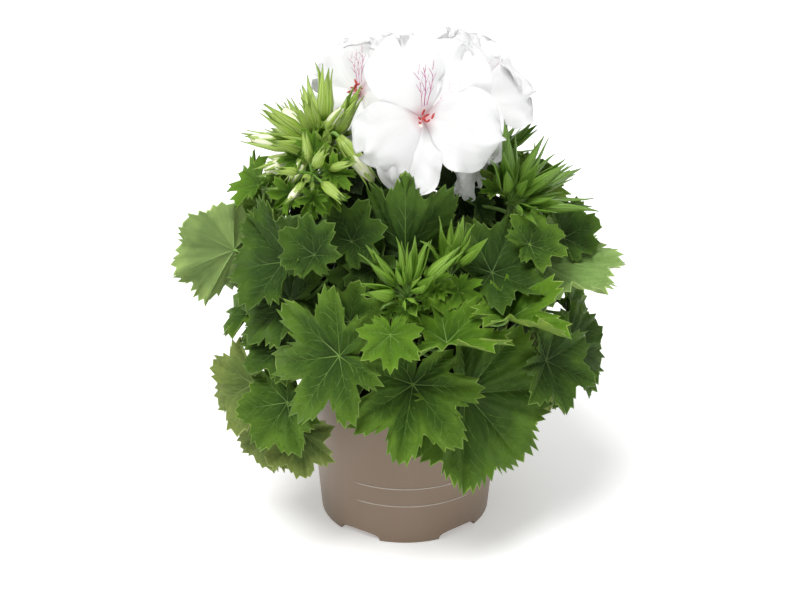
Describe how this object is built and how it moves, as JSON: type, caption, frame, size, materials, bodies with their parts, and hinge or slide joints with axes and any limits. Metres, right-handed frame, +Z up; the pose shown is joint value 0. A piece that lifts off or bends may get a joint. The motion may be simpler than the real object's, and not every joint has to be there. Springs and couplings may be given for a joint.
{
  "type": "potted plant",
  "caption": "Potted regal pelargonium with lobed toothed leaves, pointed buds and white flowers, in a round taupe plastic pot.",
  "frame": {"origin": "on the pot's axis, in the plane of the flat underside that it stands on", "axes": "+Z up along the pot's axis; the side with the open flower's face looks along -Y; +X to the right of that side as it is seen"},
  "size_m": [0.2541, 0.2356, 0.2987],
  "materials": {
    "pot": "matt moulded",
    "compost": "moist peat",
    "stem": "rough green-brown bark",
    "bough": "green shoot",
    "foliage": "satin leaf",
    "blossom": "soft petal"
  },
  "bodies": {
    "root": {"pot": "pot", "compost": "compost", "main_stem": "stem", "bough_skirt_front": "bough", "bough_skirt_front_right": "bough", "bough_skirt_right": "bough", "bough_skirt_back_right": "bough", "bough_skirt_back": "bough", "bough_skirt_back_left": "bough", "bough_skirt_left": "bough", "bough_skirt_front_left": "bough", "bough_crown_front": "bough", "bough_crown_right": "bough", "bough_crown_back_right": "bough", "bough_crown_back_left": "bough", "bough_crown_left": "bough", "bough_flower_head": "bough", "foliage_skirt_front": "foliage", "foliage_skirt_front_right": "foliage", "foliage_skirt_right": "foliage", "foliage_skirt_back_right": "foliage", "foliage_skirt_back": "foliage", "foliage_skirt_back_left": "foliage", "foliage_skirt_left": "foliage", "foliage_skirt_front_left": "foliage", "foliage_crown_front": "foliage", "foliage_crown_right": "foliage", "foliage_crown_back_right": "foliage", "foliage_crown_back_left": "foliage", "foliage_crown_left": "foliage", "flower_head": "blossom"}
  },
  "joints": []
}
